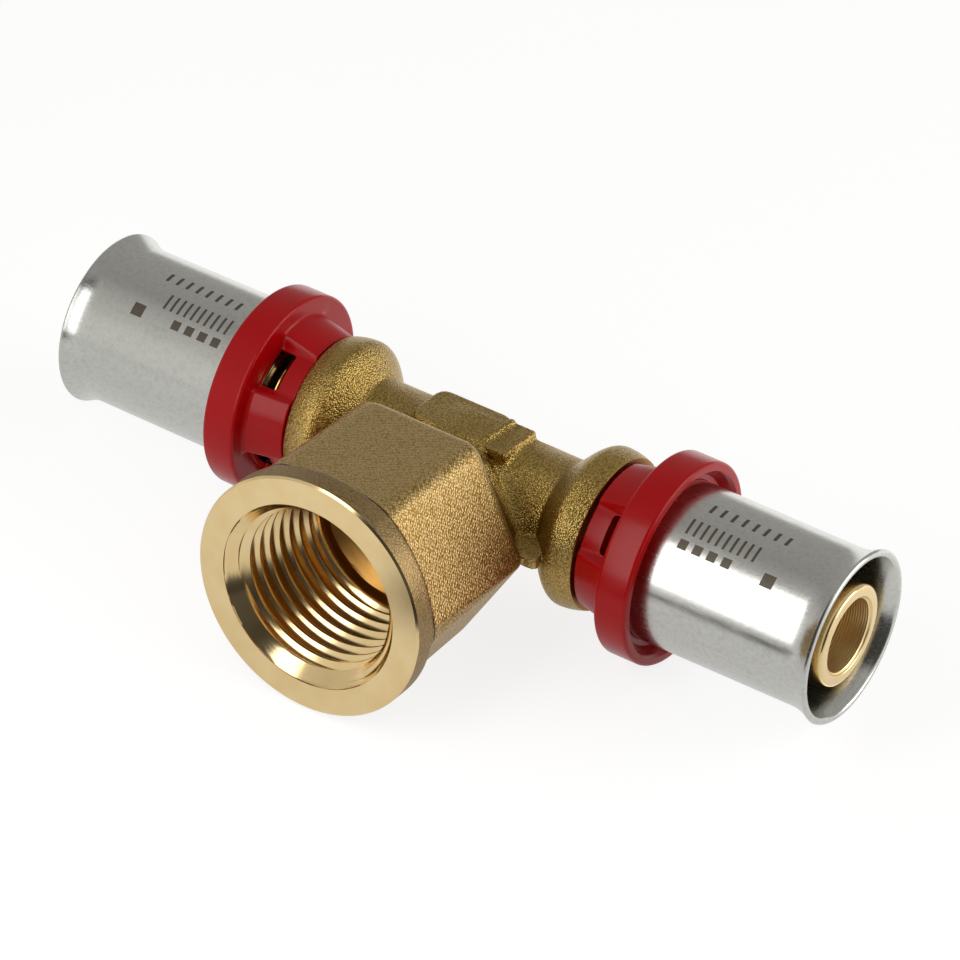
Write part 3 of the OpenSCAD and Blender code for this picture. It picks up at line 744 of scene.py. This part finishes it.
# Press sleeve: an open tube with a bead at its inner end and a flared mouth, whose rim turns through an arc
# between two angles. The flare ends a twentieth of the wall under the rim's top.
sleeve = {
    "start": 24.32, "mouth": 49.298, "radius": 9.2, "wall": 0.9, "beadLength": 0.7, "beadRise": 0.4,
    "flareRadius": 10.07, "flareLength": 3.3, "flareShort": 0.05, "rimArc": (80, -75),
    "flareSteps": 14, "rimSteps": 9, "columns": 160, "sharpOver": 35,
}


# Outline of the sleeve's wall: outside from the bead to the mouth, round the rim and back along the inside.
# The flare grows with the square of the distance from its start.
def sleeveOutline():
    s = sleeve
    half, inner, top = s["wall"] / 2, s["radius"] - s["wall"], s["radius"] + s["beadRise"]
    bead, foot = s["start"] + s["beadLength"], s["start"] + s["beadLength"] + s["beadRise"]
    outside = easedOutline([(s["start"], top, 0.15), (bead, top, 0.2), (foot, s["radius"], 0.25)])
    t = np.linspace(0, 1, s["flareSteps"])[:, None]
    rise = s["flareRadius"] - s["wall"] * s["flareShort"] - s["radius"]
    place = s["mouth"] - s["flareLength"] + t * (s["flareLength"] - half)
    flare = np.hstack([place, s["radius"] + rise * t ** 2])
    arc = np.radians(np.linspace(*s["rimArc"], s["rimSteps"]))[:, None]
    rim = np.array([s["mouth"] - half, s["flareRadius"] - half]) + half * np.hstack([np.cos(arc), np.sin(arc)])
    back = flare[::-1] - [0, s["wall"]]
    inside = [(foot, inner), (s["start"], inner + s["beadRise"])]
    return np.concatenate([outside, flare, rim, back[1:], inside])


def makeSleeve(side, name):
    piece = turnedSolid(name, sleeveOutline() * [side, 1], sleeve["columns"], [stainless], closed=True)
    crispEdges(piece, sleeve["sharpOver"])
    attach(piece, name.split("Press")[0] + "_sleeve_unit")
    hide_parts(name.split("Press")[0] + "_press_sleeve")


# Locating ring: a conical hub with four window pockets, a flange, and the seats for the pipe, the bead
# and the root. Columns are counted over half a pocket's floor, one of its walls and half a land.
ring = {
    "start": 19.3, "hubRadius": 8.7, "hubRise": 1.1, "hubEnd": 23.82, "fillet": 0.5, "floorRadius": 8.3,
    "hubEdge": 0.2, "floorEdge": 0.15, "core": 5.0, "edgeSteps": 7,
    "flangeRadius": 11.869, "flangeEnd": 27.86, "edge": 0.45,
    "pockets": 4, "pocketAngle": 43.0, "pocketFloorAngle": 34.5, "wallSoftness": 0.4,
    "columns": (9, 20, 11), "wallMargin": 1.0, "turns": {-1: 52, 1: 36},
    "window": {
        "start": 21.6, "end": 23.78, "angle": 32.5, "corner": 0.55, "endCorner": 0.1,
        "inside": 7.3, "outside": 9.2,
    },
    "turnRadius": 6.38, "snapRadius": 6.03, "snap": (19.858, 20.442), "stop": 21.45, "pipeSeat": 8.1,
    "beadSeat": (24.22, 25.52), "beadRadius": 9.7, "lipRadius": 9.3, "lipEnd": 26.32, "leadRadius": 9.95,
    "rimRadius": 10.6, "rimBack": 0.25, "rimPast": 0.05, "rimRise": 0.3, "past": 1.0,
    "seatSteps": 4, "seatColumns": 200, "sharpOver": 32,
}


# Outside of the ring: two outlines with as many points, over the hub and over a pocket's floor.
# At each angle the surface lies between them by the pocket's share there, 0 on a land and 1 on a floor.
def ringOutside(side, turn):
    r = ring
    start, end, core, top = r["start"], r["hubEnd"], r["core"], r["hubRadius"] + r["hubRise"]
    flange = [(end, r["flangeRadius"], r["edge"]), (r["flangeEnd"], r["flangeRadius"], r["edge"])]
    flange += [(r["flangeEnd"], core, 0)]
    hub = [(start, core, 0), (start, r["hubRadius"], r["hubEdge"]), (end, top, r["fillet"])]
    floor = [(start, core, 0), (start, r["floorRadius"], r["floorEdge"]), (end, r["floorRadius"], r["fillet"])]
    hub, floor = (easedOutline(corners + flange, r["edgeSteps"]) for corners in (hub, floor))
    pitch = 360 / r["pockets"]
    landEdge, foot = r["pocketAngle"] / 2, r["pocketFloorAngle"] / 2
    # columns crowd together at the pocket walls
    bounds = [0, foot - r["wallMargin"], landEdge + r["wallMargin"], pitch / 2]
    spans = zip(bounds, bounds[1:], r["columns"])
    off = np.concatenate([np.linspace(first, last, count, endpoint=False) for first, last, count in spans])
    single = np.concatenate([[-pitch / 2], -off[:0:-1], off])
    angle = turn + np.concatenate([single + i * pitch for i in range(r["pockets"])])
    ramp = (landEdge - np.abs(np.tile(single, r["pockets"]))) / (landEdge - foot)
    share = smoothMax(smoothMin(ramp, 1 + 0 * ramp, r["wallSoftness"]), 0 * ramp, r["wallSoftness"])
    share = np.clip(share / share.max(), 0, 1)[None, :]
    radius = hub[:, 1:] * (1 - share) + floor[:, 1:] * share
    place = hub[:, :1] * (1 - share) + floor[:, :1] * share
    angle = np.radians(angle)[None, :]
    return np.stack([side * place, -radius * np.cos(angle), radius * np.sin(angle)], axis=-1)


# Cutter for one window in a pocket's floor: a rectangle with rounded corners, wrapped round the axis
def windowTool(side, turn):
    w = ring["window"]
    reach = ring["floorRadius"] * math.radians(w["angle"] / 2)
    corners = [(w["start"], -reach, w["corner"]), (w["end"], -reach, w["endCorner"])]
    corners += [(w["end"], reach, w["endCorner"]), (w["start"], reach, w["corner"])]
    outline = easedOutline(corners, ring["edgeSteps"])
    middle = np.array([(w["start"] + w["end"]) / 2, 0])
    rows = []
    for radius, spread in ((w["inside"], 0), (w["inside"], 1), (w["outside"], 1), (w["outside"], 0)):
        place, arc = (middle + (outline - middle) * spread).T
        angle = math.radians(turn) + arc / ring["floorRadius"]
        rows.append(np.stack([side * place, -radius * np.cos(angle), radius * np.sin(angle)], axis=-1))
    return solidMesh("windowTool", np.array(rows), gridQuads(4, len(outline)), [redNylon])


# Outline of what is cut out of the ring: the turning bore with the snap lip, the pipe's seat from its stop,
# the bead's groove behind a lip, and the mouth, which widens to the rim and runs on past the flange
def seatOutline():
    r = ring
    start, bore, seat = r["start"] - r["past"], r["turnRadius"], r["pipeSeat"]
    corners = [(start, 0, 0), (start, bore, 0)]
    corners += [(r["snap"][0], bore, 0.05), (r["snap"][0], r["snapRadius"], 0.05)]
    corners += [(r["snap"][1], r["snapRadius"], 0.05), (r["snap"][1], bore, 0.05)]
    corners += [(r["stop"], bore, 0), (r["stop"], seat, 0)]
    corners += [(r["beadSeat"][0], seat, 0), (r["beadSeat"][0], r["beadRadius"], 0)]
    corners += [(r["beadSeat"][1], r["beadRadius"], 0), (r["beadSeat"][1], r["lipRadius"], 0.08)]
    corners += [(r["lipEnd"], r["lipRadius"], 0.08), (r["lipEnd"], r["leadRadius"], 0.1)]
    end, rim = r["flangeEnd"], r["rimRadius"] + r["rimRise"]
    corners += [(end - r["rimBack"], r["rimRadius"], 0.2), (end + r["rimPast"], rim, 0)]
    corners += [(end + r["past"], rim, 0), (end + r["past"], 0, 0)]
    return easedOutline(corners, r["seatSteps"])


def makeRing(side, name):
    r = ring
    turn = r["turns"][side]
    points = ringOutside(side, turn)
    # flat ends: a row at each end that shrinks to the axis
    points = np.concatenate([points[:1] * [1, 0, 0], points, points[-1:] * [1, 0, 0]])
    piece = solidMesh(name, points, gridQuads(*points.shape[:2]), [redNylon])
    carve(piece, turnedSolid("seatTool", seatOutline() * [side, 1], r["seatColumns"], [redNylon]), "DIFFERENCE")
    for i in range(r["pockets"]):
        carve(piece, windowTool(side, turn + i * 360 / r["pockets"]), "DIFFERENCE")
    crispEdges(piece, r["sharpOver"])
    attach(piece, name.split("Locating")[0] + "_sleeve_unit")
    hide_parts(name.split("Locating")[0] + "_locating_ring")


makeTee()
makeSleeve(-1, "leftPressSleeve")
makeSleeve(1, "rightPressSleeve")
print("sleeves made")
makeRing(-1, "leftLocatingRing")
makeRing(1, "rightLocatingRing")
print("rings made")

for name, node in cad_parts.items():
    if name.endswith("o_ring"):
        node.data.materials.clear()
        node.data.materials.append(blackRubber)
        node.data.shade_smooth()
print("seals dressed")


# Floor: the plane that the collar's back edge and both flanges rest on, so it leans by a few degrees in the
# part's frame. The camera sees it nearly white with a faint shadow. Metal sees it as white card with painted
# light, glowing more brightly towards the back, and painted shade darkens it in front of the part on the right,
# where the dark corner of the room begins. From below it is clear, so that the underside can be looked at.
stage = {
    "size": 4000.0, "tone": "#f2f0ec", "cameraGlow": 0.82, "cameraTone": 0.3, "mirrorTone": 0.36,
    "frontPaintedGlow": 0.5, "frontEnd": -20.0, "backPaintedGlow": 0.95, "backStart": 60.0,
    "paintedShadeDepth": (-50.0, -62.0), "paintedShadeSide": (-12.0, -2.0), "paintedShadeTone": 0.05,
}


def whiteCardPaintedLight():
    finish = bpy.data.materials.new("whiteCardPaintedLight")
    finish.use_nodes = True
    tree = finish.node_tree
    tree.nodes.clear()
    path = addNode(tree, "ShaderNodeLightPath")
    place = addNode(tree, "ShaderNodeTexCoord").outputs["Object"]
    x, y, z = addNode(tree, "ShaderNodeSeparateXYZ", links={0: place}).outputs
    # painted light: seen by metal the card glows, more brightly towards the back
    settings = {"From Min": stage["frontEnd"] * mm, "From Max": stage["backStart"] * mm}
    settings |= {"To Min": stage["frontPaintedGlow"], "To Max": stage["backPaintedGlow"]}
    paintedGlow = addNode(tree, "ShaderNodeMapRange", settings, {"Value": y}).outputs[0]
    # painted shade: seen by metal the card darkens in front of the part on the right
    beyond = easeOver(tree, y, stage["paintedShadeDepth"])
    beyond = compute(tree, "MULTIPLY", beyond, easeOver(tree, x, stage["paintedShadeSide"]))
    paintedShadeFactor = compute(tree, "MULTIPLY_ADD", beyond, stage["paintedShadeTone"] - 1, 1.0)

    plain = addNode(tree, "ShaderNodeBsdfDiffuse", {"Color": linearColour(stage["tone"])})
    tone = compute(tree, "MULTIPLY", paintedShadeFactor, stage["mirrorTone"])
    lit = addNode(tree, "ShaderNodeBsdfDiffuse", links={"Color": tone})
    own = addNode(tree, "ShaderNodeEmission", links={"Strength": compute(tree, "MULTIPLY", paintedGlow, paintedShadeFactor)})
    toMetal = addNode(tree, "ShaderNodeAddShader", links={0: lit, 1: own})
    lit = addNode(tree, "ShaderNodeBsdfDiffuse", {"Color": (*[stage["cameraTone"]] * 3, 1.0)})
    own = addNode(tree, "ShaderNodeEmission", {"Strength": stage["cameraGlow"]})
    toCamera = addNode(tree, "ShaderNodeAddShader", links={0: lit, 1: own})
    seen = eitherShader(tree, path.outputs["Is Glossy Ray"], plain, toMetal)
    seen = eitherShader(tree, path.outputs["Is Camera Ray"], seen, toCamera)
    behind = addNode(tree, "ShaderNodeNewGeometry").outputs["Backfacing"]
    below = compute(tree, "MULTIPLY", path.outputs["Is Camera Ray"], behind)
    seen = eitherShader(tree, below, seen, addNode(tree, "ShaderNodeBsdfTransparent"))
    addNode(tree, "ShaderNodeOutputMaterial", links={"Surface": seen})
    return finish


# Seen along the run, its axis lies in a line with the collar's back edge at one angle, and the floor lies
# below that line by the angle whose sine is the flange's radius over the distance.
def makeFloor():
    collar, flange = -cadLow[2] / mm, -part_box("right_locating_ring")[0][2] / mm
    edge = forging["hexFront"]
    lean = math.atan2(collar, edge) - math.asin(flange / math.hypot(collar, edge))
    t = np.linspace(-0.5, 0.5, 2) * stage["size"]
    x, y = np.meshgrid(t, t, indexing="ij")
    z = y * math.tan(lean) - flange / math.cos(lean)
    mesh = bpy.data.meshes.new("floor")
    corners = np.stack([x, y, z], axis=-1).reshape(-1, 3) * mm
    mesh.from_pydata(corners.tolist(), [], [(0, 2, 3, 1)])
    mesh.materials.append(whiteCardPaintedLight())
    floor = bpy.data.objects.new("floor", mesh)
    bpy.context.scene.collection.objects.link(floor)


# The room: brightness by the angle from the front horizon over the top to the back horizon, in degrees.
# The corner where the camera stands is dark, and the camera itself sees white. Spans are parts of a direction.
room = {
    "bands": {0: 0.80, 25: 0.78, 45: 0.62, 70: 0.5, 88: 0.36, 120: 0.40, 180: 0.44},
    "cornerRight": (-0.05, 0.2), "cornerFront": (0.1, 0.45), "cornerTone": 0.06,
    "farRight": (0.35, 0.7), "rightTone": 1.8, "tint": "#fcfaf6",
}


def makeRoom():
    world = bpy.data.worlds.new("studio")
    bpy.context.scene.world = world
    world.use_nodes = True
    tree = world.node_tree
    tree.nodes.clear()
    direction = addNode(tree, "ShaderNodeTexCoord").outputs["Generated"]
    x, y, z = addNode(tree, "ShaderNodeSeparateXYZ", links={0: direction}).outputs
    front = compute(tree, "MULTIPLY", y, -1.0)
    share = compute(tree, "DIVIDE", compute(tree, "ARCTAN2", z, front), math.pi)
    bands = addNode(tree, "ShaderNodeValToRGB", links={"Fac": share})
    ramp = bands.color_ramp
    for degrees in list(room["bands"])[1:-1]:
        ramp.elements.new(degrees / 180)
    for element, (degrees, tone) in zip(ramp.elements, room["bands"].items()):
        element.position = degrees / 180
        element.color = (tone, tone, tone, 1.0)
    corner = ease(tree, x, *room["cornerRight"])
    corner = compute(tree, "MULTIPLY", corner, ease(tree, front, *room["cornerFront"]))
    shade = compute(tree, "MULTIPLY_ADD", corner, room["cornerTone"] - 1, 1.0)
    farRight = ease(tree, x, *room["farRight"], 1.0, room["rightTone"])
    level = compute(tree, "MULTIPLY", compute(tree, "MULTIPLY", bands, shade), farRight)
    soft = addNode(tree, "ShaderNodeBackground", {"Color": linearColour(room["tint"])}, {"Strength": level})
    white = addNode(tree, "ShaderNodeBackground", {"Color": (1, 1, 1, 1), "Strength": 1.0})
    seen = eitherShader(tree, addNode(tree, "ShaderNodeLightPath").outputs["Is Camera Ray"], soft, white)
    addNode(tree, "ShaderNodeOutputWorld", links={"Surface": seen})


# Soft boxes: centre, the point that each faces, width, height and radiance.
# The tall one at the front left makes the white band along the right sleeve and stops short of the left one,
# and the one behind on the right lights the hexagon's right side and the card behind the part.
softBoxes = {
    "stripBox": {"centre": (-15, -106, 57), "target": (-15, 0, 0), "size": (46, 132), "radiance": 2.5},
    "sideBox": {"centre": (300, 150, 110), "target": (0, 0, 0), "size": (240, 200), "radiance": 2.6},
}


def makeLights():
    for name, box in softBoxes.items():
        lamp = bpy.data.lights.new(name, "AREA")
        lamp.shape = "RECTANGLE"
        lamp.size, lamp.size_y = (side * mm for side in box["size"])
        lamp.energy = box["radiance"] * math.pi * lamp.size * lamp.size_y
        holder = bpy.data.objects.new(name, lamp)
        centre = Vector(box["centre"]) * mm
        aim = (Vector(box["target"]) * mm - centre).to_track_quat("-Z", "Y")
        holder.matrix_world = Matrix.Translation(centre) @ aim.to_matrix().to_4x4()
        bpy.context.scene.collection.objects.link(holder)


# Camera at the photograph's viewing angle: turned about the object, tipped down, rolled, and moved sideways.
# It sees from the near to the far distance.
shot = {
    "azimuth": 31.31, "elevation": 33.74, "roll": 4.77, "distance": 658.3, "right": 1.04, "up": -0.85,
    "lens": 224.87, "sensor": 36.0, "near": 50.0, "far": 20000.0,
}


def makeCamera():
    a, e, r = (math.radians(shot[key]) for key in ("azimuth", "elevation", "roll"))
    back = Vector((math.sin(a) * math.cos(e), -math.cos(a) * math.cos(e), math.sin(e)))
    level = Vector((math.cos(a), math.sin(a), 0))
    right = level * math.cos(r) + back.cross(level) * math.sin(r)
    up = back.cross(right)
    place = (back * shot["distance"] + right * shot["right"] + up * shot["up"]) * mm
    data = bpy.data.cameras.new("camera")
    data.lens = shot["lens"]
    data.sensor_width = shot["sensor"]
    data.clip_start, data.clip_end = shot["near"] * mm, shot["far"] * mm
    camera = bpy.data.objects.new("camera", data)
    turn = Matrix((right, up, back)).transposed().to_4x4()
    camera.matrix_world = Matrix.Translation(place) @ turn
    bpy.context.scene.collection.objects.link(camera)
    bpy.context.scene.camera = camera


makeFloor()
makeRoom()
makeLights()
makeCamera()
bpy.context.scene.view_settings.view_transform = "Standard"
print("stage, light and camera ready")
